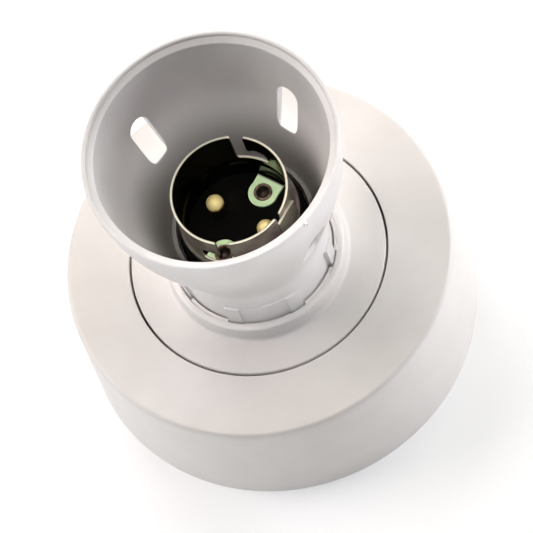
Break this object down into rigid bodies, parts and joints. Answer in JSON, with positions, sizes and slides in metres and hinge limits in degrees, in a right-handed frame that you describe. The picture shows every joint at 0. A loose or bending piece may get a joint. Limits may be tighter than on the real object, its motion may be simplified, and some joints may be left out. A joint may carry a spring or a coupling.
{
  "type": "batten lamp holder",
  "caption": "Straight batten lamp holder: round base cover, flared vented skirt and a two-slot bayonet sleeve with sprung contacts.",
  "frame": {"origin": "middle of the mounting face at the back of the base", "axes": "+Z out of the lamp's mouth along the sleeve's axis, +X along the line of the two fixing holes"},
  "size_m": [0.0826, 0.0826, 0.0772],
  "materials": {
    "warm_white_moulding": "fine matt moulding",
    "cool_white_moulding": "satin moulding",
    "black_phenolic": "satin moulding",
    "zinc_plated_steel": "yellow-green passivated plating",
    "tarnished_rivet": "tarnished brown",
    "brass": "bright turned brass",
    "spring_steel": "drawn wire",
    "plated_screw": "plated"
  },
  "bodies": {
    "holder": {"base": "warm_white_moulding", "holder_body": "warm_white_moulding", "insulator": "black_phenolic", "sleeve": "zinc_plated_steel", "sleeve_rivets": "tarnished_rivet", "live_barrel": "brass", "neutral_barrel": "brass", "live_spring": "spring_steel", "neutral_spring": "spring_steel", "live_strip": "brass", "neutral_strip": "brass", "live_terminal": "brass", "neutral_terminal": "brass", "loop_terminal": "brass", "earth_terminal": "brass", "terminal_screws": "plated_screw", "body_screws": "plated_screw", "core_screws": "plated_screw"},
    "cover": {"cover_ring": "warm_white_moulding"},
    "skirt": {"skirt": "cool_white_moulding"},
    "live_contact": {"live_plunger": "brass"},
    "neutral_contact": {"neutral_plunger": "brass"}
  },
  "joints": [
    {"name": "cover_lift", "type": "slide", "parent": "holder", "child": "cover", "axis": [0, 0, 1], "range_m": [0, 0.08]},
    {"name": "skirt_lift", "type": "slide", "parent": "holder", "child": "skirt", "axis": [0, 0, 1], "range_m": [0, 0.04]},
    {"name": "live_press", "type": "slide", "parent": "holder", "child": "live_contact", "axis": [0, 0, -1], "range_m": [0, 0.0035], "stiffness_N_per_m": 900, "springref_m": -0.003, "deforming": ["live_spring"]},
    {"name": "neutral_press", "type": "slide", "parent": "holder", "child": "neutral_contact", "axis": [0, 0, -1], "range_m": [0, 0.0035], "stiffness_N_per_m": 900, "springref_m": -0.003, "deforming": ["neutral_spring"]}
  ]
}
